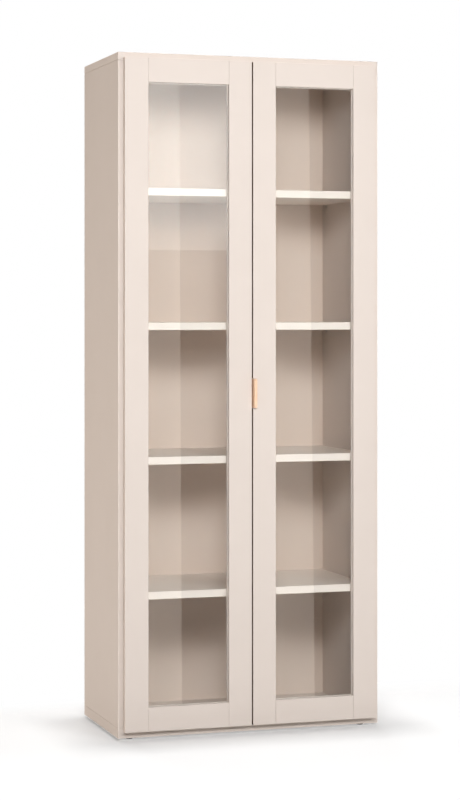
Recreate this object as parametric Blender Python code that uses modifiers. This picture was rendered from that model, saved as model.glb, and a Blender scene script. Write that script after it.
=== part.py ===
"""Tall display cabinet with two framed glass doors on concealed hinges.

The carcass is a top and a bottom panel with two thick side panels between them, a thin back panel
held in grooves, and loose shelves on pins. Each door is a frame of two stiles and two rails, with
a glass pane in a rebate. Metres, +Z up; the origin is on the floor under the middle of the cabinet.
"""

import math

import bmesh
import bpy
from mathutils import Matrix, Vector

# Carcass
WIDTH = 0.800
HEIGHT = 1.980
CARCASS_DEPTH = 0.397
TOP_THICKNESS = 0.022
BOTTOM_THICKNESS = 0.029
SIDE_THICKNESS = 0.032
BACK_THICKNESS = 0.006
BACK_RECESS = 0.006
BACK_GROOVE_DEPTH = 0.008
BACK_EDGE = 0.0003
EDGE_RADIUS = 0.001

# Shelves and the pins they lie on
SHELF_COUNT = 4
SHELF_THICKNESS = 0.022
SHELF_SETBACK = 0.001
SHELF_END_GAP = 0.0005
PIN_INSET = 0.037
PIN_WIDTH = 0.010
PIN_TONGUE = 0.012
PIN_DROP = 0.011
PIN_PLATE = 0.002
PEG_DIAMETER = 0.005
PEG_LENGTH = 0.009
PEG_END_ROOM = 0.001

# Feet
FOOT_HEIGHT = 0.008
FOOT_DIAMETER = 0.020
FOOT_CHAMFER = 0.0015
FOOT_INSET_SIDE = 0.043
FOOT_INSET_FRONT = 0.037
FOOT_STEM_DIAMETER = 0.006
FOOT_STEM_LENGTH = 0.010

# Doors
DOOR_THICKNESS = 0.018
DOOR_EDGE_RADIUS = 0.0006
DOOR_SIDE_REVEAL = 0.015
DOOR_TOP_REVEAL = 0.016
DOOR_BOTTOM_REVEAL = 0.019
DOOR_CENTRE_GAP = 0.004
STILE_WIDTH = 0.070
RAIL_HEIGHT = 0.070
LIP_THICKNESS = 0.008
REBATE_WIDTH = 0.010
GLASS_THICKNESS = 0.004
GLASS_EDGE_GAP = 0.0008
GLASS_ARRIS = 0.0004
GLAZING_SHOW = 0.0025
GLAZING_EDGE = 0.0003

# Pull let into the edge of the right door
PULL_HEIGHT = 0.085
PULL_THICKNESS = 0.008
PULL_PROJECTION = 0.015
PULL_CORNER = 0.006
PULL_EDGE_RADIUS = 0.0008

# Concealed hinges
HINGES_PER_DOOR = 4
HINGE_END_DISTANCE = 0.110
SWING_CLEARANCE = 0.0003
CUP_DIAMETER = 0.035
CUP_BORE_DEPTH = 0.012
CUP_WALL = 0.0008
FLANGE_THICKNESS = 0.0006
FLANGE_RIM = 0.001
FLANGE_CLEARANCE = 0.0016
FLANGE_BAR_LENGTH = 0.058
FLANGE_BAR_WIDTH = 0.016
FLANGE_SCREW_SPACING = 0.048
HINGE_SCREW_HOLE = 0.0042
HINGE_PIN_DIAMETER = 0.0023
HINGE_PIN_CLEARANCE = 0.0003
HINGE_EYE_WALL = 0.0007
HINGE_EYE_CLEARANCE = 0.0004
NECK_WIDTH = 0.007
NECK_THICKNESS = 0.002
NECK_FROM_WALL = 0.002
NECK_BEND = 0.003
ARM_START = 0.005
ARM_LENGTH = 0.055
ARM_WIDTH = 0.014
ARM_HEIGHT = 0.008
ARM_NOSE_WIDTH = 0.010
ARM_NOSE_LENGTH = 0.016
ARM_CORNER = 0.004
ARM_EDGE = 0.0012
MOUNT_PLATE_THICKNESS = 0.003
MOUNT_PLATE_START = 0.022
MOUNT_PLATE_LENGTH = 0.024
MOUNT_PLATE_SPAN = 0.048
MOUNT_SCREW_SPACING = 0.032

# Gap left between pieces that touch, and how far a cutter runs past the face it cuts
FIT = 0.0003
OVERCUT = 0.004
JOIN_OVERLAP = 0.0004

ROUND_SEGMENTS = 24
SMALL_ROUND_SEGMENTS = 12
SCREW_HOLE_SEGMENTS = 10
BEND_STEPS = 4

# Places worked out from the sizes above. The doors stand off the carcass by the flange of the hinge
# cups and its clearance.
DOOR_GAP = FIT + FLANGE_THICKNESS + FLANGE_CLEARANCE
OVERALL_DEPTH = CARCASS_DEPTH + DOOR_GAP + DOOR_THICKNESS + PULL_PROJECTION
PULL_FRONT = -OVERALL_DEPTH / 2
DOOR_FRONT = PULL_FRONT + PULL_PROJECTION
DOOR_BACK = DOOR_FRONT + DOOR_THICKNESS
CARCASS_FRONT = DOOR_BACK + DOOR_GAP
CARCASS_BACK = CARCASS_FRONT + CARCASS_DEPTH
BACK_REAR = CARCASS_BACK - BACK_RECESS
BACK_FRONT = BACK_REAR - BACK_THICKNESS
HALF_WIDTH = WIDTH / 2
HALF_INSIDE = HALF_WIDTH - SIDE_THICKNESS
BOTTOM_UPPER = FOOT_HEIGHT + BOTTOM_THICKNESS
TOP_UNDER = HEIGHT - TOP_THICKNESS
COMPARTMENT = (TOP_UNDER - BOTTOM_UPPER - SHELF_COUNT * SHELF_THICKNESS) / (SHELF_COUNT + 1)
SHELF_PITCH = COMPARTMENT + SHELF_THICKNESS
SHELF_UNDERS = [BOTTOM_UPPER + COMPARTMENT + number * SHELF_PITCH for number in range(SHELF_COUNT)]
PIN_ROWS = [CARCASS_FRONT + PIN_INSET, BACK_FRONT - PIN_INSET]
PEG_DROP = PIN_DROP / 2

DOOR_OUTER_EDGE = HALF_WIDTH - DOOR_SIDE_REVEAL
DOOR_INNER_EDGE = DOOR_CENTRE_GAP / 2
DOOR_LOW = FOOT_HEIGHT + DOOR_BOTTOM_REVEAL
DOOR_HIGH = HEIGHT - DOOR_TOP_REVEAL
OPENING_OUTER = DOOR_OUTER_EDGE - STILE_WIDTH
OPENING_INNER = DOOR_INNER_EDGE + STILE_WIDTH
OPENING_LOW = DOOR_LOW + RAIL_HEIGHT
OPENING_HIGH = DOOR_HIGH - RAIL_HEIGHT
GLASS_FRONT = DOOR_FRONT + LIP_THICKNESS + FIT
GLASS_BACK = GLASS_FRONT + GLASS_THICKNESS
PULL_CENTRE = (DOOR_LOW + DOOR_HIGH) / 2

# The hinge axis lies in the cup as deep, and as near its wall, as lets the eye of the arm turn. It
# stands as far in from the door's edge as lets the rounded back corner of the door turn past the
# carcass with its clearance.
CUP_OUTER = CUP_DIAMETER / 2 - FIT
CUP_INNER = CUP_OUTER - CUP_WALL
HINGE_HOLE = HINGE_PIN_DIAMETER / 2 + HINGE_PIN_CLEARANCE
EYE_RADIUS = HINGE_HOLE + HINGE_EYE_WALL
EYE_ROOM = EYE_RADIUS + HINGE_EYE_CLEARANCE
CUP_CENTRE_FROM_AXIS = math.sqrt(CUP_INNER ** 2 - (NECK_WIDTH / 2) ** 2) - EYE_ROOM
HINGE_AXIS_DEPTH = CUP_BORE_DEPTH - FIT - CUP_WALL - EYE_ROOM
CORNER_REACH = HINGE_AXIS_DEPTH + DOOR_GAP - SWING_CLEARANCE - DOOR_EDGE_RADIUS
CORNER_DEPTH = HINGE_AXIS_DEPTH - DOOR_EDGE_RADIUS
HINGE_AXIS_INSET = DOOR_EDGE_RADIUS + math.sqrt(CORNER_REACH ** 2 - CORNER_DEPTH ** 2)
AXIS_X = DOOR_OUTER_EDGE - HINGE_AXIS_INSET
AXIS_Y = DOOR_BACK - HINGE_AXIS_DEPTH
WALL_FROM_AXIS = AXIS_X - HALF_INSIDE
FRONT_FROM_AXIS = HINGE_AXIS_DEPTH + DOOR_GAP


def srgb(red, green, blue):
    """Linear colour from 0 to 255 sRGB values."""
    return [((c / 255 + 0.055) / 1.055) ** 2.4 for c in (red, green, blue)] + [1.0]


def make_material(name, colour, roughness, metallic=0.0, transmission=0.0):
    material = bpy.data.materials.new(name)
    material.use_nodes = True
    shader = material.node_tree.nodes["Principled BSDF"]
    shader.inputs["Base Color"].default_value = colour
    shader.inputs["Roughness"].default_value = roughness
    shader.inputs["Metallic"].default_value = metallic
    shader.inputs["Transmission Weight"].default_value = transmission
    material.diffuse_color = colour
    return material


def mesh_from(name, build):
    """Mesh of whatever build adds to an empty bmesh."""
    shape = bmesh.new()
    build(shape)
    mesh = bpy.data.meshes.new(name)
    shape.to_mesh(mesh)
    shape.free()
    return mesh


def add_box(shape, low, high):
    low, high = Vector(low), Vector(high)
    size = high - low
    matrix = Matrix.Translation((low + high) / 2) @ Matrix.Diagonal((*size, 1.0))
    bmesh.ops.create_cube(shape, size=1.0, matrix=matrix)


def add_rod(shape, start, end, radius, segments):
    """Closed cylinder between two points."""
    start, end = Vector(start), Vector(end)
    span = end - start
    matrix = Matrix.Translation((start + end) / 2) @ span.to_track_quat("Z", "Y").to_matrix().to_4x4()
    bmesh.ops.create_cone(
        shape,
        cap_ends=True,
        segments=segments,
        radius1=radius,
        radius2=radius,
        depth=span.length,
        matrix=matrix,
    )


def box_mesh(name, low, high):
    return mesh_from(name, lambda shape: add_box(shape, low, high))


def rod_mesh(name, start, end, radius, segments):
    return mesh_from(name, lambda shape: add_rod(shape, start, end, radius, segments))


def evaluated_mesh(obj):
    """Plain mesh of an object with its modifiers, welded; the object is removed."""
    scene_objects = bpy.context.scene.collection.objects
    if obj.name not in scene_objects:
        scene_objects.link(obj)
    graph = bpy.context.evaluated_depsgraph_get()
    graph.update()
    mesh = bpy.data.meshes.new_from_object(obj.evaluated_get(graph))
    bpy.data.objects.remove(obj)
    shape = bmesh.new()
    shape.from_mesh(mesh)
    bmesh.ops.remove_doubles(shape, verts=shape.verts, dist=1e-6)
    bmesh.ops.recalc_face_normals(shape, faces=shape.faces)
    shape.to_mesh(mesh)
    shape.free()
    return mesh


def plate_mesh(name, outline, thickness):
    """A flat outline in x and y, extruded half its thickness to each side."""
    curve = bpy.data.curves.new(name, "CURVE")
    curve.dimensions = "2D"
    curve.fill_mode = "BOTH"
    curve.extrude = thickness / 2
    spline = curve.splines.new("POLY")
    spline.points.add(len(outline) - 1)
    for point, (x, y) in zip(spline.points, outline):
        point.co = (x, y, 0.0, 1.0)
    spline.use_cyclic_u = True
    return evaluated_mesh(bpy.data.objects.new(name, curve))


def side_plate_mesh(name, outline, low, high):
    """A flat outline in y and z, extruded along x from low to high."""
    mesh = plate_mesh(name, outline, high - low)
    upright = Matrix(((0, 0, 1, 0), (1, 0, 0, 0), (0, 1, 0, 0), (0, 0, 0, 1)))
    mesh.transform(Matrix.Translation(((low + high) / 2, 0, 0)) @ upright)
    return mesh


def broken_edge_mesh(mesh, width):
    """The mesh with its sharp edges broken by a narrow flat."""
    obj = bpy.data.objects.new(mesh.name, mesh)
    round_edges(obj, width, segments=1)
    return evaluated_mesh(obj)


def combined(base, tool, operation):
    """Mesh of base with tool joined to it (UNION) or cut out of it (DIFFERENCE)."""
    other = bpy.data.objects.new("tool", tool)
    bpy.context.scene.collection.objects.link(other)
    target = bpy.data.objects.new(base.name, base)
    modifier = target.modifiers.new("combine", "BOOLEAN")
    modifier.operation = operation
    modifier.object = other
    mesh = evaluated_mesh(target)
    bpy.data.objects.remove(other)
    return mesh


def pierced(mesh, spots, along, diameter):
    """The mesh with a round hole through it at each spot."""
    for spot in spots:
        start, end = Vector(spot) - Vector(along), Vector(spot) + Vector(along)
        hole = rod_mesh("hole", start, end, diameter / 2, SCREW_HOLE_SEGMENTS)
        mesh = combined(mesh, hole, "DIFFERENCE")
    return mesh


def arc(centre, radius, start, end, steps):
    """Points of an arc, angles in degrees."""
    angles = [math.radians(start + (end - start) * step / steps) for step in range(steps + 1)]
    return [(centre[0] + radius * math.cos(a), centre[1] + radius * math.sin(a)) for a in angles]


def round_ended(width, length):
    """Outline of an upright bar with fully rounded ends."""
    radius = width / 2
    straight = length / 2 - radius
    outline = arc((0, straight), radius, 0, 180, 2 * BEND_STEPS)
    return outline + arc((0, -straight), radius, 180, 360, 2 * BEND_STEPS)


def round_edges(obj, radius, segments=2):
    bevel = obj.modifiers.new("rounded edges", "BEVEL")
    bevel.width = radius
    bevel.segments = segments
    bevel.limit_method = "ANGLE"


def place(name, mesh, finish, location=(0, 0, 0), turn=(0, 0, 0), pivot=None):
    """Add a piece to the cabinet, on a door's pivot when one is given."""
    obj = bpy.data.objects.new(name, mesh)
    if not mesh.materials:
        mesh.materials.append(finish)
    obj.location = location
    obj.rotation_euler = turn
    obj.parent = pivot
    CABINET.objects.link(obj)
    return obj


def board(name, low, high, finish, pivot=None, edge=EDGE_RADIUS):
    """A rectangular board between two corners, with its edges eased."""
    low, high = Vector(low), Vector(high)
    middle = (low + high) / 2
    offset = pivot.location if pivot else Vector()
    mesh = box_mesh(name, low - middle, high - middle)
    obj = place(name, mesh, finish, middle - offset, pivot=pivot)
    round_edges(obj, edge)
    return obj


def cut(pieces, cutter_name, build):
    """Cut one shape out of each of the pieces."""
    cutter = bpy.data.objects.new(cutter_name, mesh_from(cutter_name, build))
    cutter.hide_render = True
    cutter.display_type = "WIRE"
    CUTTERS.objects.link(cutter)
    for piece in pieces:
        modifier = piece.modifiers.new(cutter_name, "BOOLEAN")
        modifier.operation = "DIFFERENCE"
        modifier.object = cutter


def make_carcass():
    front, back = CARCASS_FRONT, CARCASS_BACK
    top = board("top_panel", (-HALF_WIDTH, front, TOP_UNDER), (HALF_WIDTH, back, HEIGHT), PAINT)
    bottom_low, bottom_high = (-HALF_WIDTH, front, FOOT_HEIGHT), (HALF_WIDTH, back, BOTTOM_UPPER)
    bottom = board("bottom_panel", bottom_low, bottom_high, PAINT)
    low, high = BOTTOM_UPPER + FIT, TOP_UNDER - FIT
    left = board("left_side_panel", (-HALF_WIDTH, front, low), (-HALF_INSIDE, back, high), PAINT)
    right = board("right_side_panel", (HALF_INSIDE, front, low), (HALF_WIDTH, back, high), PAINT)

    half_panel = HALF_INSIDE + BACK_GROOVE_DEPTH - FIT
    panel_low = (-half_panel, BACK_FRONT, BOTTOM_UPPER - BACK_GROOVE_DEPTH + FIT)
    panel_high = (half_panel, BACK_REAR, TOP_UNDER + BACK_GROOVE_DEPTH - FIT)
    board("back_panel", panel_low, panel_high, PAINT, edge=BACK_EDGE)
    half_groove = HALF_INSIDE + BACK_GROOVE_DEPTH
    groove_low = (-half_groove, BACK_FRONT - FIT, BOTTOM_UPPER - BACK_GROOVE_DEPTH)
    groove_high = (half_groove, BACK_REAR + FIT, TOP_UNDER + BACK_GROOVE_DEPTH)
    cut([top, bottom, left, right], "back_groove", lambda shape: add_box(shape, groove_low, groove_high))

    def pin_holes(shape):
        reach = HALF_INSIDE + PEG_LENGTH + PEG_END_ROOM
        radius = PEG_DIAMETER / 2 + FIT
        for side in (-1, 1):
            for under in SHELF_UNDERS:
                for y in PIN_ROWS:
                    start = (side * (HALF_INSIDE - OVERCUT), y, under - PEG_DROP)
                    add_rod(shape, start, (side * reach, y, under - PEG_DROP), radius, SMALL_ROUND_SEGMENTS)

    cut([left, right], "shelf_pin_holes", pin_holes)
    return bottom


def make_shelves():
    half_length = HALF_INSIDE - SHELF_END_GAP
    front = CARCASS_FRONT + SHELF_SETBACK
    back = BACK_FRONT - SHELF_END_GAP
    pin = pin_mesh()
    for number, under in enumerate(SHELF_UNDERS, start=1):
        low, high = (-half_length, front, under), (half_length, back, under + SHELF_THICKNESS)
        board(f"shelf_{number}", low, high, PAINT)
        for row, y in zip(("front", "back"), PIN_ROWS):
            place(f"shelf_pin_{number}_left_{row}", pin, STEEL, (-HALF_INSIDE, y, under))
            place(f"shelf_pin_{number}_right_{row}", pin, STEEL, (HALF_INSIDE, y, under), (0, 0, math.pi))


def pin_mesh():
    """Angle with a tongue under the shelf, and a peg that goes into the side panel at -x."""
    outline = [
        (FIT, -FIT),
        (PIN_TONGUE, -FIT),
        (PIN_TONGUE, -PIN_PLATE),
        (PIN_PLATE, -PIN_PLATE),
        (PIN_PLATE, -PIN_DROP),
        (FIT, -PIN_DROP),
    ]
    angle = plate_mesh("shelf_pin", outline, PIN_WIDTH)
    angle.transform(Matrix.Rotation(math.pi / 2, 4, "X"))
    start, end = (-PEG_LENGTH, 0, -PEG_DROP), (PIN_PLATE / 2, 0, -PEG_DROP)
    peg = rod_mesh("peg", start, end, PEG_DIAMETER / 2, SMALL_ROUND_SEGMENTS)
    return combined(angle, peg, "UNION")


def foot_mesh():
    """Turned glide with a stem on top, standing on z = 0."""
    radius, stem = FOOT_DIAMETER / 2, FOOT_STEM_DIAMETER / 2
    top = FOOT_HEIGHT - FIT
    stem_top = FOOT_HEIGHT + FOOT_STEM_LENGTH
    profile = [
        (0, stem_top),
        (stem, stem_top),
        (stem, top),
        (radius, top),
        (radius, FOOT_CHAMFER),
        (radius - FOOT_CHAMFER, 0),
        (0, 0),
    ]
    mesh = bpy.data.meshes.new("foot")
    edges = [(number, number + 1) for number in range(len(profile) - 1)]
    mesh.from_pydata([(x, 0, z) for x, z in profile], edges, [])
    obj = bpy.data.objects.new("foot", mesh)
    screw = obj.modifiers.new("turned", "SCREW")
    screw.steps = ROUND_SEGMENTS
    screw.render_steps = ROUND_SEGMENTS
    screw.use_merge_vertices = True
    screw.merge_threshold = 1e-6
    return evaluated_mesh(obj)


def make_feet(bottom):
    glide = foot_mesh()
    x = HALF_WIDTH - FOOT_INSET_SIDE
    rows = {"front": CARCASS_FRONT + FOOT_INSET_FRONT, "back": CARCASS_BACK - FOOT_INSET_FRONT}
    columns = {"left": -x, "right": x}
    for row, spot_y in rows.items():
        for column, spot_x in columns.items():
            place(f"foot_{row}_{column}", glide, DARK_PLASTIC, (spot_x, spot_y, 0))

    def stem_holes(shape):
        radius = FOOT_STEM_DIAMETER / 2 + FIT
        low, high = FOOT_HEIGHT - OVERCUT, FOOT_HEIGHT + FOOT_STEM_LENGTH + FIT
        for spot_y in rows.values():
            for spot_x in columns.values():
                add_rod(shape, (spot_x, spot_y, low), (spot_x, spot_y, high), radius, ROUND_SEGMENTS)

    cut([bottom], "foot_stem_holes", stem_holes)


def hinge_heights():
    """Heights of one door's hinges; those between the end ones sit at the middle of a compartment."""
    steps = HINGES_PER_DOOR - 1
    compartments = [round(number * SHELF_COUNT / steps) for number in range(1, steps)]
    inner = [BOTTOM_UPPER + COMPARTMENT / 2 + number * SHELF_PITCH for number in compartments]
    return [DOOR_LOW + HINGE_END_DISTANCE] + inner + [DOOR_HIGH - HINGE_END_DISTANCE]


def cup_mesh():
    """Hinge cup of the left door about its axis: flanged cup, open at +y, with the pin across it."""
    face = HINGE_AXIS_DEPTH
    flange_under, flange_top = face + FIT, face + FIT + FLANGE_THICKNESS
    floor_out = face - CUP_BORE_DEPTH + FIT
    floor_in = floor_out + CUP_WALL
    x = CUP_CENTRE_FROM_AXIS

    cup_top = flange_top - JOIN_OVERLAP
    cup = rod_mesh("hinge_cup", (x, floor_out, 0), (x, cup_top, 0), CUP_OUTER, ROUND_SEGMENTS)
    rim_radius = CUP_OUTER + FLANGE_RIM
    rim = rod_mesh("rim", (x, flange_under, 0), (x, flange_top, 0), rim_radius, ROUND_SEGMENTS)
    cup = combined(cup, rim, "UNION")

    flange_middle = (flange_under + flange_top) / 2
    bar_outline = round_ended(FLANGE_BAR_WIDTH, FLANGE_BAR_LENGTH)
    bar = plate_mesh("bar", bar_outline, FLANGE_THICKNESS - JOIN_OVERLAP)
    bar.transform(Matrix.Rotation(math.pi / 2, 4, "X"))
    bar.transform(Matrix.Translation((x, flange_middle, 0)))
    screws = [(x, flange_middle, end * FLANGE_SCREW_SPACING / 2) for end in (-1, 1)]
    bar = pierced(bar, screws, (0, OVERCUT, 0), HINGE_SCREW_HOLE)
    cup = combined(cup, bar, "UNION")

    hollow_top = flange_top + OVERCUT
    hollow = rod_mesh("hollow", (x, floor_in, 0), (x, hollow_top, 0), CUP_INNER, ROUND_SEGMENTS)
    cup = combined(cup, hollow, "DIFFERENCE")

    pin_radius = HINGE_PIN_DIAMETER / 2
    half_pin = math.sqrt((CUP_OUTER - JOIN_OVERLAP) ** 2 - (x + pin_radius) ** 2)
    pin = rod_mesh("pin", (0, 0, -half_pin), (0, 0, half_pin), pin_radius, SMALL_ROUND_SEGMENTS)
    return combined(cup, pin, "UNION")


def arm_mesh():
    """Hinge arm of the left door about its axis.

    An eye round the pin, a neck that leaves the cup past the side panel's front edge, and the arm on
    its mounting plate, whose two wings are screwed to the inner face of the side panel.
    """
    half = NECK_THICKNESS / 2
    wall = WALL_FROM_AXIS
    neck_near = wall + NECK_FROM_WALL
    neck_far = neck_near + NECK_THICKNESS
    arm_start = FRONT_FROM_AXIS + ARM_START
    bend_outer = (neck_far - NECK_BEND, -half + NECK_BEND)
    outline = [(0, half), (0, -half)]
    outline += arc(bend_outer, NECK_BEND, -90, 0, BEND_STEPS)
    outline += [(neck_far, arm_start + NECK_BEND), (neck_near, arm_start + NECK_BEND)]
    bend_inner = (neck_near - NECK_BEND + NECK_THICKNESS, half + NECK_BEND - NECK_THICKNESS)
    outline += arc(bend_inner, NECK_BEND - NECK_THICKNESS, 0, -90, BEND_STEPS)
    arm = plate_mesh("hinge_arm", outline, NECK_WIDTH)

    half_neck = NECK_WIDTH / 2
    eye = rod_mesh("eye", (0, 0, -half_neck), (0, 0, half_neck), EYE_RADIUS, SMALL_ROUND_SEGMENTS)
    arm = combined(arm, eye, "UNION")
    half_bore = half_neck + OVERCUT
    bore = rod_mesh("bore", (0, 0, -half_bore), (0, 0, half_bore), HINGE_HOLE, SMALL_ROUND_SEGMENTS)
    arm = combined(arm, bore, "DIFFERENCE")

    nose, side = ARM_NOSE_WIDTH / 2, ARM_WIDTH / 2
    nose_end = arm_start + ARM_NOSE_LENGTH
    corner_y, corner_z = arm_start + ARM_LENGTH - ARM_CORNER, side - ARM_CORNER
    outline = [(nose_end, side), (arm_start, nose), (arm_start, -nose), (nose_end, -side)]
    outline += arc((corner_y, -corner_z), ARM_CORNER, -90, 0, BEND_STEPS)
    outline += arc((corner_y, corner_z), ARM_CORNER, 0, 90, BEND_STEPS)
    plate_top = wall + MOUNT_PLATE_THICKNESS
    channel = side_plate_mesh("channel", outline, plate_top - JOIN_OVERLAP, plate_top + ARM_HEIGHT)
    arm = combined(arm, broken_edge_mesh(channel, ARM_EDGE), "UNION")

    plate_middle = FRONT_FROM_AXIS + MOUNT_PLATE_START + MOUNT_PLATE_LENGTH / 2
    plate_outline = round_ended(MOUNT_PLATE_LENGTH, MOUNT_PLATE_SPAN)
    plate = side_plate_mesh("plate", plate_outline, wall + FIT, plate_top)
    plate.transform(Matrix.Translation((0, plate_middle, 0)))
    screws = [(plate_top, plate_middle, end * MOUNT_SCREW_SPACING / 2) for end in (-1, 1)]
    plate = pierced(plate, screws, (OVERCUT, 0, 0), HINGE_SCREW_HOLE)
    return combined(arm, plate, "UNION")


def make_door(hand, side, cup, arm):
    """One door on its pivot; side is -1 for the left door and 1 for the right one."""
    pivot = bpy.data.objects.new(f"{hand}_door_pivot", None)
    pivot.location = (side * AXIS_X, AXIS_Y, 0)
    CABINET.objects.link(pivot)

    def member(name, across, along, upright, finish=PAINT, edge=DOOR_EDGE_RADIUS):
        """A board of this door from its inner to its outer edge, front to back and low to high."""
        near, far = sorted(side * x for x in across)
        low, high = zip((near, far), along, upright)
        return board(f"{hand}_door_{name}", low, high, finish, pivot, edge)

    thick = (DOOR_FRONT, DOOR_BACK)
    tall = (DOOR_LOW, DOOR_HIGH)
    hinge_stile = member("hinge_stile", (OPENING_OUTER, DOOR_OUTER_EDGE), thick, tall)
    meeting_stile = member("meeting_stile", (DOOR_INNER_EDGE, OPENING_INNER), thick, tall)
    between_stiles = (OPENING_INNER + FIT, OPENING_OUTER - FIT)
    bottom_rail = member("bottom_rail", between_stiles, thick, (DOOR_LOW, OPENING_LOW))
    top_rail = member("top_rail", between_stiles, thick, (OPENING_HIGH, DOOR_HIGH))

    def opening_box(shape, grow, front, back):
        near, far = sorted((side * (OPENING_INNER - grow), side * (OPENING_OUTER + grow)))
        add_box(shape, (near, front, OPENING_LOW - grow), (far, back, OPENING_HIGH + grow))

    def rebate(shape):
        opening_box(shape, REBATE_WIDTH, DOOR_FRONT + LIP_THICKNESS, DOOR_BACK + OVERCUT)

    def cup_bores(shape):
        x = side * (AXIS_X - CUP_CENTRE_FROM_AXIS)
        for z in hinge_heights():
            start, end = (x, DOOR_BACK - CUP_BORE_DEPTH, z), (x, DOOR_BACK + OVERCUT, z)
            add_rod(shape, start, end, CUP_DIAMETER / 2, ROUND_SEGMENTS)

    cut([hinge_stile, meeting_stile, bottom_rail, top_rail], f"{hand}_glass_rebate", rebate)
    cut([hinge_stile], f"{hand}_cup_bores", cup_bores)

    def in_rebate(edge_gap):
        grow = REBATE_WIDTH - edge_gap
        return (OPENING_INNER - grow, OPENING_OUTER + grow), (OPENING_LOW - grow, OPENING_HIGH + grow)

    across, upright = in_rebate(GLASS_EDGE_GAP)
    member("glass", across, (GLASS_FRONT, GLASS_BACK), upright, GLASS, GLASS_ARRIS)
    across, upright = in_rebate(FIT)
    glazing = member("glazing_frame", across, (GLASS_BACK + FIT, DOOR_BACK), upright, PAINT, GLAZING_EDGE)

    def glazing_hole(shape):
        opening_box(shape, -GLAZING_SHOW, GLASS_BACK - OVERCUT, DOOR_BACK + OVERCUT)

    cut([glazing], f"{hand}_glazing_hole", glazing_hole)

    turn = (0, math.pi, 0) if side > 0 else (0, 0, 0)
    for number, z in enumerate(hinge_heights(), start=1):
        place(f"{hand}_hinge_cup_{number}", cup, STEEL, (0, 0, z), turn, pivot)
        place(f"{hand}_hinge_arm_{number}", arm, STEEL, (side * AXIS_X, AXIS_Y, z), turn)
    return pivot, meeting_stile


def make_pull(pivot, stile):
    """Upright wooden tab, let into the edge of the stile and flush with it, its front corners rounded."""
    half = PULL_HEIGHT / 2
    outline = [(DOOR_BACK, -half), (DOOR_BACK, half)]
    outline += arc((PULL_FRONT + PULL_CORNER, half - PULL_CORNER), PULL_CORNER, 90, 180, BEND_STEPS)
    outline += arc((PULL_FRONT + PULL_CORNER, PULL_CORNER - half), PULL_CORNER, 180, 270, BEND_STEPS)
    mesh = side_plate_mesh("right_door_pull", outline, -PULL_THICKNESS / 2, PULL_THICKNESS / 2)
    middle = Vector((DOOR_INNER_EDGE + PULL_THICKNESS / 2, 0, PULL_CENTRE))
    pull = place("right_door_pull", mesh, OAK, middle - pivot.location, pivot=pivot)
    round_edges(pull, PULL_EDGE_RADIUS)

    housing_low = (DOOR_INNER_EDGE - OVERCUT, DOOR_FRONT - OVERCUT, PULL_CENTRE - half - FIT)
    housing_high = (DOOR_INNER_EDGE + PULL_THICKNESS + FIT, DOOR_BACK + OVERCUT, PULL_CENTRE + half + FIT)
    cut([stile], "pull_housing", lambda shape: add_box(shape, housing_low, housing_high))


for old in list(bpy.data.objects):
    bpy.data.objects.remove(old)

CABINET = bpy.data.collections.new("display_cabinet")
CUTTERS = bpy.data.collections.new("cutters")
bpy.context.scene.collection.children.link(CABINET)
bpy.context.scene.collection.children.link(CUTTERS)

PAINT = make_material("satin_painted_board", srgb(226, 214, 204), 0.45)
GLASS = make_material("clear_glass", srgb(244, 248, 246), 0.02, transmission=1.0)
OAK = make_material("light_oak", srgb(222, 178, 138), 0.5)
STEEL = make_material("nickel_plated_steel", srgb(190, 188, 184), 0.3, metallic=1.0)
DARK_PLASTIC = make_material("dark_plastic", srgb(52, 47, 45), 0.55)

make_feet(make_carcass())
make_shelves()
CUP, ARM = cup_mesh(), arm_mesh()
make_door("left", -1, CUP, ARM)
make_pull(*make_door("right", 1, CUP, ARM))
bpy.context.view_layer.update()
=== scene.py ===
"""Looks of a tall display cabinet with two framed glass doors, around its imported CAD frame.

Metres, +Z up; the origin is on the floor under the middle of the cabinet, with the doors at -Y.
"""

import math

import bmesh
import bpy
from mathutils import Matrix, Vector


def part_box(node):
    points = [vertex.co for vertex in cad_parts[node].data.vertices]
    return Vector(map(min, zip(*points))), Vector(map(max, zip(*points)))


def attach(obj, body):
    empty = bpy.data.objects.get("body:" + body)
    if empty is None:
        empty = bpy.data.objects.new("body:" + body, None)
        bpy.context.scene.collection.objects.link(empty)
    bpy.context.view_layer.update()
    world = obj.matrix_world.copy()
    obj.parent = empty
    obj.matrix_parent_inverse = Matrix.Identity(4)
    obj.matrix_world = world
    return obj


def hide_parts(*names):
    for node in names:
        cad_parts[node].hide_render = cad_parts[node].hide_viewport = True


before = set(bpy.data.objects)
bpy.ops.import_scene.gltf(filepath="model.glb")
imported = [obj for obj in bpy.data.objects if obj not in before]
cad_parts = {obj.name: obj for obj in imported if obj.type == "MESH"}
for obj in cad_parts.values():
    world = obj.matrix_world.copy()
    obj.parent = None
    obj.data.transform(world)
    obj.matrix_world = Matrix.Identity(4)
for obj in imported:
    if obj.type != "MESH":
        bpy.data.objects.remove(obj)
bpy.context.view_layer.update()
scene = bpy.context.scene


# Carcass: top and bottom panels with two thick sides between them, cut from medium-density
# fibreboard, dowelled and glued. The faces and eased edges are sprayed with a satin lacquer.

MM = 0.001


def linear(colour):
    """Scene-linear colour of an sRGB hex value."""
    channels = [int(colour[place:place + 2], 16) / 255 for place in (1, 3, 5)]
    return [((c + 0.055) / 1.055) ** 2.4 if c > 0.04045 else c / 12.92 for c in channels] + [1.0]


def add_node(tree, kind, values=None, links=None, **settings):
    """A node with its settings, socket values and links; sockets go by their identifiers."""
    node = tree.nodes.new(kind)
    for name, value in settings.items():
        setattr(node, name, value)
    sockets = {socket.identifier: socket for socket in node.inputs}
    for name, value in (values or {}).items():
        sockets[name].default_value = value
    for name, (source, output) in (links or {}).items():
        outputs = {socket.identifier: socket for socket in source.outputs}
        tree.links.new(outputs[output], sockets[name])
    return node


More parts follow.
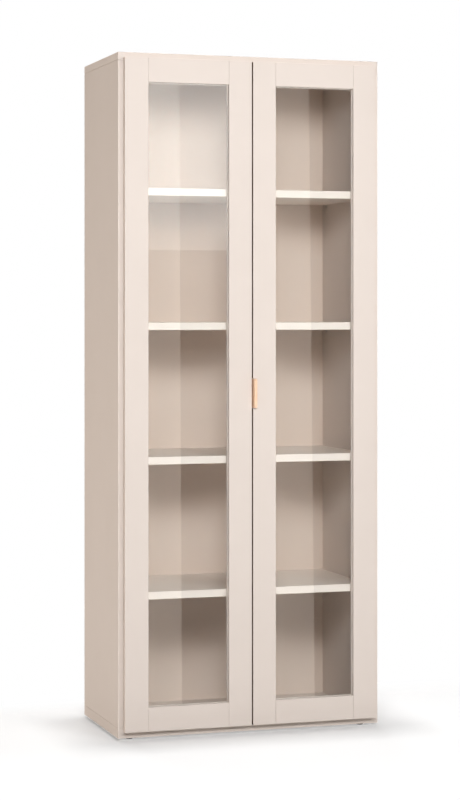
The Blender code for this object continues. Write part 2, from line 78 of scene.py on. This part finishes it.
def new_tree(name):
    """A material without nodes, and its node tree."""
    material = bpy.data.materials.new(name)
    material.use_nodes = True
    material.node_tree.nodes.clear()
    return material, material.node_tree


def object_place(tree):
    """The place on the object that a pattern is drawn by."""
    return add_node(tree, "ShaderNodeTexCoord"), "Object"


def noise(tree, place, size, detail, distortion=0.0):
    """Noise from 0 to 1 with patches of about this size, and finer ones in them by the detail."""
    values = {"Scale": 1 / size, "Detail": detail, "Distortion": distortion}
    return add_node(tree, "ShaderNodeTexNoise", values, {"Vector": place}), "Fac"


def two_tones(tree, dark, light, share):
    """A colour from the dark to the light tone, by a share from 0 to 1."""
    tones = {"A_Color": linear(dark), "B_Color": linear(light)}
    return add_node(tree, "ShaderNodeMix", tones, {"Factor_Float": share}, data_type="RGBA"), "Result_Color"


def between(tree, share, low, high):
    """A value from low to high, by a share from 0 to 1."""
    return add_node(tree, "ShaderNodeMapRange", {"To Min": low, "To Max": high}, {"Value": share}), "Result"


def relief(tree, height, shape, invert=False):
    """A surface raised by up to a height, or sunk by it."""
    return add_node(tree, "ShaderNodeBump", {"Distance": height}, {"Height": shape}, invert=invert), "Normal"


def end_in(tree, values, links):
    """The surface that a material ends in."""
    surface = add_node(tree, "ShaderNodeBsdfPrincipled", values, links)
    add_node(tree, "ShaderNodeOutputMaterial", links={"Surface": (surface, "BSDF")})


def dress(nodes, material):
    """Give the CAD nodes of these names their finish."""
    for node in nodes:
        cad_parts[node].material_slots[0].material = material


def satin_lacquer(name, light, dark, roughness):
    """Sprayed satin lacquer: an even, soft sheen that breaks up a little over each hand's breadth.

    The mottle is the tone of the coat over its filler. Orange peel is really about a millimetre
    wide; it is drawn 3 mm wide so that it still shows close up.
    """
    material, tree = new_tree(name)
    mottle_size, sheen_size, peel_size = 120 * MM, 45 * MM, 3 * MM
    sheen_spread, peel_height = 0.05, 0.012 * MM
    place = object_place(tree)
    mottle = noise(tree, place, mottle_size, 3.0)
    cloud = noise(tree, place, sheen_size, 2.0)
    peel = noise(tree, place, peel_size, 1.0)
    end_in(tree, {"IOR": 1.5, "Specular IOR Level": 0.4}, {
        "Base Color": two_tones(tree, dark, light, mottle),
        "Roughness": between(tree, cloud, roughness - sheen_spread, roughness + sheen_spread),
        "Normal": relief(tree, peel_height, peel),
    })
    return material


lacquer = satin_lacquer("satin_lacquer_on_fibreboard", "#DACEC5", "#D6CAC1", 0.55)
dress(["top_panel", "bottom_panel", "left_side_panel", "right_side_panel"], lacquer)


# Back: one thin fibreboard panel, sprayed flatter than the carcass, slid into grooves in the four
# panels around it before the last of them goes on. Its lacquer is paler than the carcass's. The paleness is
# painted light that stands in for light reaching the back through the glass.

back_lacquer_with_painted_light = satin_lacquer("flat_lacquer_on_thin_board", "#E7D6C9", "#E3D2C5", 0.6)
dress(["back_panel"], back_lacquer_with_painted_light)


# Shelves: four loose boards as thick as the top, lacquered all round like the carcass but a shade
# paler. The paler tone is painted light that brightens them behind the glass. They lie on pins and lift out.

SHELVES = range(1, 5)
shelf_lacquer_with_painted_light = satin_lacquer("pale_satin_lacquer_on_shelves", "#ECE1D7", "#E8DDD3", 0.55)
dress([f"shelf_{number}" for number in SHELVES], shelf_lacquer_with_painted_light)


# Shelf pins: pressed steel angles with a peg, bright nickel plated in a barrel. Each peg sits in a
# drilled hole in a side panel, and the tongue carries the shelf.


def nickel_plate(name):
    """Barrel-plated nickel on pressed steel: warm grey, bright, softly blurred by the tumbling."""
    material, tree = new_tree(name)
    stain_size, tumble_size = 12 * MM, 1.5 * MM
    least_blur, most_blur = 0.26, 0.32
    place = object_place(tree)
    stain = noise(tree, place, stain_size, 3.0)
    tumble = noise(tree, place, tumble_size, 2.0)
    end_in(tree, {"Metallic": 1.0}, {
        "Base Color": two_tones(tree, "#BEBBB5", "#C9C6C1", stain),
        "Roughness": between(tree, tumble, least_blur, most_blur),
    })
    return material


nickel = nickel_plate("nickel_plated_steel")
SIDES = {"left": -1, "right": 1}  # with the sign of X there
ROWS = ("front", "back")
dress([f"shelf_pin_{shelf}_{side}_{row}" for shelf in SHELVES for side in SIDES for row in ROWS], nickel)


# Feet: four low glides moulded in dark plastic, each with a stem pressed into a hole in the bottom
# panel. A shallow dish in the sole leaves a ring to slide on.

MERGED_WITHIN = 0.001 * MM


def moulded_plastic(name):
    """Spark-eroded moulding: nearly black brown, with a dull, fine grain that kills the gloss."""
    material, tree = new_tree(name)
    grain_size, grain_height = 0.6 * MM, 0.03 * MM
    grain = noise(tree, object_place(tree), grain_size, 2.0)
    end_in(tree, {"Roughness": 0.6, "IOR": 1.49}, {
        "Base Color": two_tones(tree, "#211D1B", "#2C2725", grain),
        "Normal": relief(tree, grain_height, grain),
    })
    return material


def carry(name, mesh, material, body):
    """A finished piece that rides on a body."""
    mesh.materials.clear()
    mesh.materials.append(material)
    piece = bpy.data.objects.new(name, mesh)
    scene.collection.objects.link(piece)
    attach(piece, body)
    return piece


def smoothed(mesh, angle=35):
    """The mesh with its round faces shaded smooth, and edges sharper than the angle kept crisp."""
    mesh.shade_smooth()
    mesh.set_sharp_from_angle(angle=math.radians(angle))
    return mesh


def turned(name, profile, place, axis, steps=64):
    """A solid turned from a profile of (radius, height) points, standing at a place along an axis."""
    shape = bmesh.new()
    rings = [shape.verts.new((radius, 0, height)) for radius, height in profile]
    edges = [shape.edges.new(pair) for pair in zip(rings, rings[1:])]
    bmesh.ops.spin(
        shape, geom=rings + edges, axis=(0, 0, 1), cent=(0, 0, 0), angle=math.tau, steps=steps,
        use_merge=True,
    )
    bmesh.ops.remove_doubles(shape, verts=shape.verts, dist=MERGED_WITHIN)
    bmesh.ops.recalc_face_normals(shape, faces=shape.faces)
    turn = Vector(axis).to_track_quat("Z", "Y").to_matrix().to_4x4()
    shape.transform(Matrix.Translation(place) @ turn)
    mesh = bpy.data.meshes.new(name)
    shape.to_mesh(mesh)
    shape.free()
    return smoothed(mesh)


def quarter(centre, radius, start, steps=6):
    """Points of a quarter circle, from an angle in degrees onwards."""
    angles = [math.radians(start + 90 * step / steps) for step in range(steps + 1)]
    return [(centre[0] + radius * math.cos(a), centre[1] + radius * math.sin(a)) for a in angles]


plastic = moulded_plastic("moulded_dark_plastic")
SOLE_ROUND, RIM_ROUND = 1.5 * MM, 0.75 * MM
DISH_DEPTH = 0.6 * MM
DISH_SHARE, RING_SHARE = 0.6, 0.75
for row in ROWS:
    for side in SIDES:
        node = f"foot_{row}_{side}"
        low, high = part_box(node)
        radius = (high.x - low.x) / 2
        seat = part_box("bottom_panel")[0].z - low.z
        sole = radius - SOLE_ROUND
        outline = [(0, DISH_DEPTH), (sole * DISH_SHARE, DISH_DEPTH), (sole * RING_SHARE, 0)]
        outline += quarter((sole, SOLE_ROUND), SOLE_ROUND, -90)
        outline += quarter((radius - RIM_ROUND, seat - RIM_ROUND), RIM_ROUND, 0)
        outline += [(0, seat)]
        centre = ((low.x + high.x) / 2, (low.y + high.y) / 2, low.z)
        mesh = turned(node, outline, centre, (0, 0, 1))
        glide = carry(f"glide_{row}_{side}", mesh, plastic, "carcass")
        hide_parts(node)


# Door frames: two stiles and two rails to a door, cut from fibreboard, butted and glued with dowels
# and sprayed as one. A rebate behind the opening takes the pane.

MEMBERS = ("hinge_stile", "meeting_stile", "top_rail", "bottom_rail")
dress([f"{side}_door_{member}" for side in SIDES for member in MEMBERS], lacquer)


# Panes: clear float glass, cut to size with a ground arris. Each pane lies loose in the rebate of its
# door, and the glazing frame keeps it there.


def larger(tree, one, other):
    """The larger of two values."""
    links = {"Value": one, "Value_001": other}
    return add_node(tree, "ShaderNodeMath", links=links, operation="MAXIMUM"), "Value"


def mixed(tree, share, first, second):
    """The first look where the share is 0, and the second where it is 1."""
    links = {"Fac": share, "Shader": first, "Shader_001": second}
    return add_node(tree, "ShaderNodeMixShader", links=links), "Shader"


def float_glass(name):
    """Float glass: clear with a breath of green, mirror smooth, so it shows the room and the shelves.

    Lamp light and light thrown back by the boards pass straight through, as they nearly do in the
    real pane; only what the eye sees in it is bent and mirrored.
    """
    material, tree = new_tree(name)
    pane = add_node(
        tree, "ShaderNodeBsdfPrincipled",
        {"Base Color": linear("#FCFEFD"), "Roughness": 0.0, "IOR": 1.5, "Transmission Weight": 1.0},
    )
    clear = add_node(tree, "ShaderNodeBsdfTransparent", {"Color": linear("#FFFFFF")})
    path = add_node(tree, "ShaderNodeLightPath")
    lamp_light = larger(tree, (path, "Is Shadow Ray"), (path, "Is Diffuse Ray"))
    look = mixed(tree, lamp_light, (pane, "BSDF"), (clear, "BSDF"))
    add_node(tree, "ShaderNodeOutputMaterial", links={"Surface": look})
    return material


glass = float_glass("clear_float_glass")
dress([f"{side}_door_glass" for side in SIDES], glass)


# Glazing frames: strips of thin fibreboard, mitred and glued into one frame behind each pane, lacquered
# like the door and pressed into the rebate, so that the glass can be changed.

dress([f"{side}_door_glazing_frame" for side in SIDES], lacquer)


# Pull: one upright tab of oiled oak, let into the edge of the right door. The grain runs up it, and
# its corners and edges are rounded over.


def oiled_oak(name):
    """Oiled oak: honey brown, long darker pores and a straight grain, with a dull silky sheen."""
    material, tree = new_tree(name)
    grain_width, grain_wander = 1.6 * MM, 0.4
    pore_width, pore_depth, pore_edge, pore_heart = 0.5 * MM, 0.05 * MM, 0.6, 0.75
    stretch = 12
    along = add_node(
        tree, "ShaderNodeMapping", {"Scale": (1, 1, 1 / stretch)}, {"Vector": object_place(tree)},
    )
    place = along, "Vector"
    tone = two_tones(tree, "#E6B594", "#F9E2C6", noise(tree, place, grain_width, 4.0, grain_wander))
    pore = add_node(
        tree, "ShaderNodeMapRange", {"From Min": pore_edge, "From Max": pore_heart},
        {"Value": noise(tree, place, pore_width, 1.0)},
    )
    wood = add_node(
        tree, "ShaderNodeMix", {"B_Color": linear("#CC976F")},
        {"Factor_Float": (pore, "Result"), "A_Color": tone}, data_type="RGBA",
    )
    end_in(tree, {"Roughness": 0.5, "IOR": 1.47}, {
        "Base Color": (wood, "Result_Color"),
        "Normal": relief(tree, pore_depth, (pore, "Result"), invert=True),
    })
    return material


oak = oiled_oak("oiled_oak")
dress(["right_door_pull"], oak)


# Gap shade: a strip of dark felt with a rounded face, stuck along the meeting edge of the right door
# on both sides of the pull. It closes most of the gap between the doors. Its darkness is painted shade: a
# dark strip put where the gap holds only shade.

SHADE_STRIP_THICKNESS, SHADE_STRIP_WIDTH = 1.8 * MM, 10 * MM
SHADE_STRIP_BEHIND_FRONT, SHADE_STRIP_END_GAP = 1.2 * MM, 2 * MM


def gap_shade_felt(name):
    """Pressed felt: a dull brown black, painted shade for the gap between the doors, with a faint nap of
    fibres.
    """
    material, tree = new_tree(name)
    nap_size, nap_height = 0.8 * MM, 0.1 * MM
    nap = noise(tree, object_place(tree), nap_size, 2.0)
    end_in(tree, {"Roughness": 0.95, "Specular IOR Level": 0.1}, {
        "Base Color": two_tones(tree, "#4A372B", "#594436", nap),
        "Normal": relief(tree, nap_height, nap),
    })
    return material


def strip(name, outline, low, high):
    """An upright strip with this outline in plan, from one height to another."""
    shape = bmesh.new()
    foot = [shape.verts.new((x, y, low)) for x, y in outline]
    head = [shape.verts.new((x, y, high)) for x, y in outline]
    shape.faces.new(foot)
    shape.faces.new(head)
    for here in range(len(outline)):
        after = (here + 1) % len(outline)
        shape.faces.new((foot[here], foot[after], head[after], head[here]))
    bmesh.ops.recalc_face_normals(shape, faces=shape.faces)
    mesh = bpy.data.meshes.new(name)
    shape.to_mesh(mesh)
    shape.free()
    return smoothed(mesh)


# The felt strips are painted shade: dark pieces standing in the shaded gap between the doors.
felt = gap_shade_felt("gap_shade_felt")
stile_low, stile_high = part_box("right_door_meeting_stile")
pull_low, pull_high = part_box("right_door_pull")
shade_strip_middle = stile_low.y + SHADE_STRIP_BEHIND_FRONT + SHADE_STRIP_WIDTH / 2
shade_strip_outline = [
    (stile_low.x - SHADE_STRIP_THICKNESS * math.cos(angle), shade_strip_middle + SHADE_STRIP_WIDTH / 2 * math.sin(angle))
    for angle in [math.radians(degrees) for degrees in range(-90, 91, 10)]
]
for part, low, high in (
    ("lower", stile_low.z + SHADE_STRIP_END_GAP, pull_low.z - SHADE_STRIP_END_GAP),
    ("upper", pull_high.z + SHADE_STRIP_END_GAP, stile_high.z - SHADE_STRIP_END_GAP),
):
    mesh = strip(f"{part}_seal", shade_strip_outline, low, high)
    carry(f"{part}_gap_shade_strip", mesh, felt, "right_door")


# Bumpers: a clear silicone dome behind each end of the meeting stiles, stuck on. It meets the front
# edge of the top or bottom panel, so that the doors close without a knock.


def clear_silicone(name):
    """Cast silicone: milky clear and soft looking, with a round bright highlight."""
    material, tree = new_tree(name)
    haze_size = 2 * MM
    haze = noise(tree, object_place(tree), haze_size, 1.0)
    gel = {"Roughness": 0.25, "IOR": 1.41, "Transmission Weight": 0.5}
    end_in(tree, gel, {"Base Color": two_tones(tree, "#D6DADA", "#E6E9E9", haze)})
    return material


BUMPER_RADIUS, BUMPER_HEIGHT = 2.5 * MM, 2.1 * MM
BUMPER_FROM_EDGE = 30 * MM
silicone = clear_silicone("clear_silicone")
dome = [(0, 0)] + quarter((BUMPER_RADIUS - BUMPER_HEIGHT, 0), BUMPER_HEIGHT, 0) + [(0, BUMPER_HEIGHT)]
for side, sign in SIDES.items():
    low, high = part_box(f"{side}_door_meeting_stile")
    heights = {
        "lower": (low.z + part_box("bottom_panel")[1].z) / 2,
        "upper": (high.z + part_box("top_panel")[0].z) / 2,
    }
    for end, height in heights.items():
        name = f"{side}_{end}_bumper"
        mesh = turned(name, dome, (sign * BUMPER_FROM_EDGE, high.y, height), (0, 1, 0), steps=32)
        carry(name, mesh, silicone, f"{side}_door")


# Hinges: four concealed cup hinges to a door, pressed steel, nickel plated. The cup is let into the
# stile, and the arm sits on a mounting plate that is screwed to the side panel.

HINGES = range(1, 5)


def merged_copy(node):
    """A copy of a CAD node's mesh in which neighbouring faces share their corners."""
    shape = bmesh.new()
    shape.from_mesh(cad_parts[node].data)
    bmesh.ops.remove_doubles(shape, verts=shape.verts, dist=MERGED_WITHIN)
    mesh = bpy.data.meshes.new(node)
    shape.to_mesh(mesh)
    shape.free()
    return mesh


for side in SIDES:
    for number in HINGES:
        for part, body in (("cup", f"{side}_door"), ("arm", "carcass")):
            node = f"{side}_hinge_{part}_{number}"
            mesh = smoothed(merged_copy(node))
            pressing = carry(f"{side}_plated_{part}_{number}", mesh, nickel, body)
            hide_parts(node)


# Hinge screws: cross-recessed steel screws, zinc plated. Two hold each cup to the stile and two each
# mounting plate to the side panel; two more in the arm set the door to its gap.


def zinc_plate(name):
    """Blue passivated zinc: brighter and colder than the nickel, with a faint bluish cast."""
    material, tree = new_tree(name)
    cloud_size = 1.2 * MM
    cloud = noise(tree, object_place(tree), cloud_size, 2.0)
    end_in(tree, {"Metallic": 1.0, "Roughness": 0.3}, {
        "Base Color": two_tones(tree, "#B7BCC2", "#D2D6DA", cloud),
    })
    return material


def screw_tree():
    """Geometry Nodes: a cross-recessed head on every point, turned about its axis by chance.

    The head is cut at a radius and height of 1, and each copy is then brought to its size. The
    recess is measured in the same shares.
    """
    tree = bpy.data.node_groups.new("screw_heads", "GeometryNodeTree")
    inputs = {
        "Geometry": "Geometry", "Radius": "Float", "Height": "Float", "Recess Width": "Float",
        "Axis": "Vector", "Seed": "Int", "Finish": "Material",
    }
    ids = {
        name: tree.interface.new_socket(name, in_out="INPUT", socket_type=f"NodeSocket{kind}").identifier
        for name, kind in inputs.items()
    }
    result = tree.interface.new_socket("Geometry", in_out="OUTPUT", socket_type="NodeSocketGeometry")
    source = add_node(tree, "NodeGroupInput")
    given = {name: (source, identifier) for name, identifier in ids.items()}
    top_radius, recess_length, recess_depth = 0.62, 1.1, 0.65
    blank = add_node(
        tree, "GeometryNodeMeshCone",
        {"Vertices": 32, "Radius Top": top_radius, "Radius Bottom": 1.0, "Depth": 1.0},
    )
    head = add_node(
        tree, "GeometryNodeMeshBoolean", links={"Mesh 1": (blank, "Mesh")},
        operation="DIFFERENCE", solver="EXACT",
    )
    for along, across in (("X", "Y"), ("Y", "X")):
        size = add_node(
            tree, "ShaderNodeCombineXYZ", {along: recess_length, "Z": 2 * recess_depth},
            {across: given["Recess Width"]},
        )
        slot = add_node(tree, "GeometryNodeMeshCube", links={"Size": (size, "Vector")})
        raised = add_node(
            tree, "GeometryNodeTransform", {"Translation": (0, 0, 1)}, {"Geometry": (slot, "Mesh")},
        )
        tree.links.new(raised.outputs["Geometry"], head.inputs["Mesh 2"])
    upright = add_node(tree, "FunctionNodeAlignRotationToVector", links={"Vector": given["Axis"]}, axis="Z")
    real_size = add_node(
        tree, "ShaderNodeCombineXYZ",
        links={"X": given["Radius"], "Y": given["Radius"], "Z": given["Height"]},
    )
    heads = add_node(
        tree, "GeometryNodeInstanceOnPoints",
        links={
            "Points": given["Geometry"], "Instance": (head, "Mesh"),
            "Rotation": (upright, "Rotation"), "Scale": (real_size, "Vector"),
        },
    )
    chance = add_node(
        tree, "FunctionNodeRandomValue", {"Max": (0, 0, math.tau)}, {"Seed": given["Seed"]},
        data_type="FLOAT_VECTOR",
    )
    tightened = add_node(
        tree, "GeometryNodeRotateInstances",
        links={"Instances": (heads, "Instances"), "Rotation": (chance, "Value")},
    )
    solid = add_node(tree, "GeometryNodeRealizeInstances", links={"Geometry": (tightened, "Instances")})
    plated = add_node(
        tree, "GeometryNodeSetMaterial",
        links={"Geometry": (solid, "Geometry"), "Material": given["Finish"]},
    )
    add_node(tree, "NodeGroupOutput", links={result.identifier: (plated, "Geometry")})
    return tree, ids


zinc = zinc_plate("zinc_plated_steel")
screws, screw_inputs = screw_tree()
RECESS_SHARE, SCREW_SEED, SCREW_CREASE = 0.36, 7, 30


def screw_heads(name, body, places, axis, radius, height):
    """Screw heads that stand on these places along an axis, as one plain mesh."""
    points = bpy.data.meshes.new(f"{name}_points")
    points.from_pydata(places, [], [])
    holder = bpy.data.objects.new(f"{name}_points", points)
    scene.collection.objects.link(holder)
    modifier = holder.modifiers.new("screws", "NODES")
    modifier.node_group = screws
    sizes = {
        "Radius": radius, "Height": height, "Recess Width": RECESS_SHARE, "Axis": axis,
        "Seed": SCREW_SEED, "Finish": zinc,
    }
    for input_name, value in sizes.items():
        modifier[screw_inputs[input_name]] = value
    evaluated = holder.evaluated_get(bpy.context.evaluated_depsgraph_get())
    mesh = bpy.data.meshes.new_from_object(evaluated)
    bpy.data.objects.remove(holder)
    carry(name, smoothed(mesh, SCREW_CREASE), zinc, body)


def inner_face(node, sign):
    """X of the face of a CAD node that looks to the middle of the cabinet."""
    return sign * min(abs(corner.x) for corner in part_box(node))


FIXING_SCREW = {"radius": 3.2 * MM, "height": 1.1 * MM}
SETTING_SCREW = {"radius": 2.6 * MM, "height": 0.7 * MM}
CUP_SCREW_REACH, PLATE_SCREW_REACH = 24 * MM, 16 * MM
CUP_BAR_SINK = 0.2 * MM
PLATE_THICKNESS = 3 * MM
PLATE_SCREW_SETBACK, ARM_SCREW_SETBACKS = 34 * MM, (20 * MM, 45 * MM)
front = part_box("left_side_panel")[0].y
for side, sign in SIDES.items():
    plate_face = inner_face(f"{side}_side_panel", sign) - sign * PLATE_THICKNESS
    on_cup, on_plate, on_arm = [], [], []
    for number in HINGES:
        low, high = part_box(f"{side}_hinge_cup_{number}")
        middle = (low + high) / 2
        arm_face = inner_face(f"{side}_hinge_arm_{number}", sign)
        for end in (-1, 1):
            on_cup.append((middle.x, high.y - CUP_BAR_SINK, middle.z + end * CUP_SCREW_REACH))
            on_plate.append((plate_face, front + PLATE_SCREW_SETBACK, middle.z + end * PLATE_SCREW_REACH))
        on_arm += [(arm_face, front + setback, middle.z) for setback in ARM_SCREW_SETBACKS]
    inward = (-sign, 0, 0)
    screw_heads(f"{side}_cup_screws", f"{side}_door", on_cup, (0, 1, 0), **FIXING_SCREW)
    screw_heads(f"{side}_plate_screws", "carcass", on_plate, inward, **FIXING_SCREW)
    screw_heads(f"{side}_arm_screws", "carcass", on_arm, inward, **SETTING_SCREW)


# Camera: at chest height, six metres before the cabinet and two to its left, with a long lens. It looks
# level, and its frame is shifted down, so that upright edges stay upright. The turn is in degrees and
# the lens in millimetres.

CAMERA_PLACE = (-1.9993, -6.168, 1.2219)
CAMERA_TURN = -17.926
CAMERA_LENS = 97.056
CAMERA_SHIFT = -0.10525

camera_data = bpy.data.cameras.new("camera")
camera_data.lens = CAMERA_LENS
camera_data.shift_y = CAMERA_SHIFT
camera = bpy.data.objects.new("camera", camera_data)
camera.location = CAMERA_PLACE
camera.rotation_euler = (math.radians(90), 0, math.radians(CAMERA_TURN))
scene.collection.objects.link(camera)
scene.camera = camera
scene.view_settings.view_transform = "Standard"


# Surround: plain white to the eye. Mirrors and panes show a bright room in a warmer white instead,
# and the same room sheds a faint light on the cabinet from every side.

AMBIENT, MIRRORED = 0.045, 1.3
ROOM_WHITE, PLAIN_WHITE = "#FFF4E9", "#FFFFFF"


def rays(tree):
    """Two values: 1 for rays from the eye, and 1 for rays off mirrors and through glass."""
    path = add_node(tree, "ShaderNodeLightPath")
    mirrored = larger(tree, (path, "Is Glossy Ray"), (path, "Is Transmission Ray"))
    return (path, "Is Camera Ray"), mirrored


def white_surround(name):
    """A world that is white to the eye, bright in mirrors and dim to the cabinet."""
    world = bpy.data.worlds.new(name)
    world.use_nodes = True
    tree = world.node_tree
    tree.nodes.clear()
    eye, mirrored = rays(tree)
    strength = between(tree, mirrored, AMBIENT, MIRRORED)
    room = add_node(tree, "ShaderNodeBackground", {"Color": linear(ROOM_WHITE)}, {"Strength": strength})
    white = add_node(tree, "ShaderNodeBackground", {"Color": linear(PLAIN_WHITE), "Strength": 1.0})
    look = mixed(tree, eye, (room, "Background"), (white, "Background"))
    add_node(tree, "ShaderNodeOutputWorld", links={"Surface": look})
    return world


scene.world = white_surround("white_surround")


# Floor: one wide sheet of pale paper that keeps the soft shadow of the cabinet. It fades to white
# away from the cabinet, and at once behind it.

FLOOR_HALF = 8.0
FLOOR_GLOW, UNDER_GLOW, GLOW_INSET = 0.22, 0.42, 0.015
FADE_START, FADE_END = 0.9, 1.8
REAR_FADE_START, REAR_FADE_END = 0.28, 0.5


def eased(tree, value, start, end, low=0.0, high=1.0):
    """A value that goes softly from low to high while another goes from start to end."""
    ends = {"From Min": start, "From Max": end, "To Min": low, "To Max": high}
    ramp = add_node(tree, "ShaderNodeMapRange", ends, {"Value": value}, interpolation_type="SMOOTHSTEP")
    return ramp, "Result"


def dull(tree, colour):
    """A surface without any gloss."""
    return add_node(tree, "ShaderNodeBsdfDiffuse", {"Color": linear(colour)}), "BSDF"


def shining(tree, strength, colour=PLAIN_WHITE):
    """Light of a fixed strength."""
    return add_node(tree, "ShaderNodeEmission", {"Color": linear(colour), "Strength": strength}), "Emission"


def added(tree, one, other):
    """Two looks on top of each other."""
    return add_node(tree, "ShaderNodeAddShader", links={"Shader": one, "Shader_001": other}), "Shader"


def less(tree, place, amount):
    """A place less an amount along each axis."""
    values, links = {"Vector_001": amount}, {"Vector": place}
    return add_node(tree, "ShaderNodeVectorMath", values, links, operation="SUBTRACT"), "Vector"


def past_edge(tree, place, low, high):
    """How far a place lies outside a box seen from above; inside the box it is below 0."""
    from_middle = less(tree, place, (low + high) / 2)
    either_way = add_node(tree, "ShaderNodeVectorMath", links={"Vector": from_middle}, operation="ABSOLUTE")
    beyond = less(tree, (either_way, "Vector"), (high - low) / 2)
    axes = add_node(tree, "ShaderNodeSeparateXYZ", links={"Vector": beyond})
    return larger(tree, (axes, "X"), (axes, "Y"))


def pale_paper(name):
    """Studio paper: a dull pale grey, lifted a little by its own glow so that shadows stay light.

    It glows more under the cabinet, in place of the light that a real floor throws to and fro there.
    """
    material, tree = new_tree(name)
    place = object_place(tree)
    axes = add_node(tree, "ShaderNodeSeparateXYZ", links={"Vector": place})
    reach = add_node(tree, "ShaderNodeVectorMath", links={"Vector": place}, operation="LENGTH")
    far_off = eased(tree, (reach, "Value"), FADE_START, FADE_END)
    behind = eased(tree, (axes, "Y"), REAR_FADE_START, REAR_FADE_END)
    outside = past_edge(tree, place, *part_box("bottom_panel"))
    strength = eased(tree, outside, -GLOW_INSET, 0.0, UNDER_GLOW, FLOOR_GLOW)
    glow = add_node(tree, "ShaderNodeEmission", links={"Strength": strength})
    lit_paper = added(tree, dull(tree, "#C8C8C8"), (glow, "Emission"))
    seen = mixed(tree, larger(tree, far_off, behind), lit_paper, shining(tree, 1.0))
    eye, mirrored = rays(tree)
    unseen = mixed(tree, mirrored, dull(tree, "#CBCBCB"), shining(tree, MIRRORED, ROOM_WHITE))
    add_node(tree, "ShaderNodeOutputMaterial", links={"Surface": mixed(tree, eye, unseen, seen)})
    return material


floor_mesh = bpy.data.meshes.new("floor")
corners = [(x * FLOOR_HALF, y * FLOOR_HALF, 0) for x, y in ((-1, -1), (1, -1), (1, 1), (-1, 1))]
floor_mesh.from_pydata(corners, [], [(0, 1, 2, 3)])
floor_mesh.materials.append(pale_paper("pale_floor"))
floor = bpy.data.objects.new("floor", floor_mesh)
scene.collection.objects.link(floor)


# Cards: two dull black flats that keep the white surround off the right part of each pane, and a lit
# window that brightens the top of the left one. They stand before the doors, and only the panes show
# them.

FLAT_Y, WINDOW_Y = -0.62, -0.61
CARD_LOW, CARD_HIGH = 0.001, 1.985


def mirrored_card(name, material, outline, y):
    """An upright card of (x, z) corners, out of the light and seen only in the panes or through them."""
    mesh = bpy.data.meshes.new(name)
    mesh.from_pydata([(x, y, z) for x, z in outline], [], [range(len(outline))])
    mesh.materials.append(material)
    card = bpy.data.objects.new(name, mesh)
    card.visible_camera = False
    card.visible_diffuse = False
    card.visible_shadow = False
    scene.collection.objects.link(card)
    return card


def black_cloth(name):
    """Dull black cloth, which a pane shows as nearly nothing."""
    material, tree = new_tree(name)
    add_node(tree, "ShaderNodeOutputMaterial", links={"Surface": dull(tree, "#262626")})
    return material


def lit_window(name, low, high, faint, full):
    """Light added to what lies behind, from faint at one height to full at another."""
    material, tree = new_tree(name)
    height = add_node(tree, "ShaderNodeSeparateXYZ", links={"Vector": object_place(tree)})
    strength = eased(tree, (height, "Z"), low, high, faint, full)
    light = add_node(tree, "ShaderNodeEmission", links={"Strength": strength})
    clear = add_node(tree, "ShaderNodeBsdfTransparent")
    look = added(tree, (light, "Emission"), (clear, "BSDF"))
    add_node(tree, "ShaderNodeOutputMaterial", links={"Surface": look})
    return material


def dark_flat(name, material, left_low, left_high, right):
    """A flat with a left edge that leans from one place at its foot to another at its head."""
    outline = [(left_low, CARD_LOW), (right, CARD_LOW), (right, CARD_HIGH), (left_high, CARD_HIGH)]
    mirrored_card(name, material, outline, FLAT_Y)


cloth = black_cloth("dull_black_flat")
dark_flat("left_pane_flat", cloth, left_low=-0.084, left_high=-0.093, right=0.073)
dark_flat("right_pane_flat", cloth, left_low=0.354, left_high=0.334, right=0.480)

WINDOW_LEFT, WINDOW_RIGHT = -0.215, 0.073
WINDOW_LOW, WINDOW_SOFT_END = 1.425, 1.535
WINDOW_FAINT, WINDOW_FULL = 3.0, 6.8
window = lit_window("window_glow", WINDOW_LOW, WINDOW_SOFT_END, WINDOW_FAINT, WINDOW_FULL)
window_outline = [
    (WINDOW_LEFT, WINDOW_LOW), (WINDOW_RIGHT, WINDOW_LOW),
    (WINDOW_RIGHT, CARD_HIGH), (WINDOW_LEFT, CARD_HIGH),
]
window_card = mirrored_card("window_card", window, window_outline, WINDOW_Y)
window_card.visible_glossy = False


# Lamps: soft boxes in front light the doors and reach through the glass, two at the sides and two
# behind fill in, and one far overhead draws the shadow on the floor.

CABINET_MIDDLE = (0, 0, 1.2)


def softbox(name, place, size, watts, colour="#FFFFFF"):
    """A soft lamp of a width and height that faces the cabinet, and that no mirror shows."""
    data = bpy.data.lights.new(name, "AREA")
    data.shape = "RECTANGLE"
    data.size, data.size_y = size
    data.energy = watts
    data.color = linear(colour)[:3]
    lamp = bpy.data.objects.new(name, data)
    lamp.location = place
    lamp.rotation_euler = (Vector(CABINET_MIDDLE) - Vector(place)).to_track_quat("-Z", "Y").to_euler()
    lamp.visible_camera = False
    lamp.visible_glossy = False
    lamp.visible_transmission = False
    scene.collection.objects.link(lamp)


softbox("key_softbox", (-1.08, -3.53, 2.5), (0.9, 0.9), 66, "#F3F9FF")
softbox("low_key_softbox", (-0.37, -3.68, 2.15), (0.9, 0.9), 31, "#FFFAF5")
softbox("front_right_softbox", (1.28, -3.49, 2.0), (1.3, 0.8), 43)
softbox("far_softbox", (-1.11, -8.12, 4.2), (2.6, 2.0), 18)
softbox("left_softbox", (-3.6, -0.2, 1.0), (1.0, 1.0), 32, "#FFEFDF")
softbox("right_softbox", (3.6, 0.2, 1.5), (1.0, 1.0), 36)
softbox("back_left_softbox", (-1.0, 5.0, 2.0), (1.2, 1.2), 70)
softbox("back_right_softbox", (1.0, 5.0, 2.0), (1.2, 1.2), 70)
softbox("overhead_softbox", (0.0, 0.3, 12.0), (1.2, 1.0), 860)
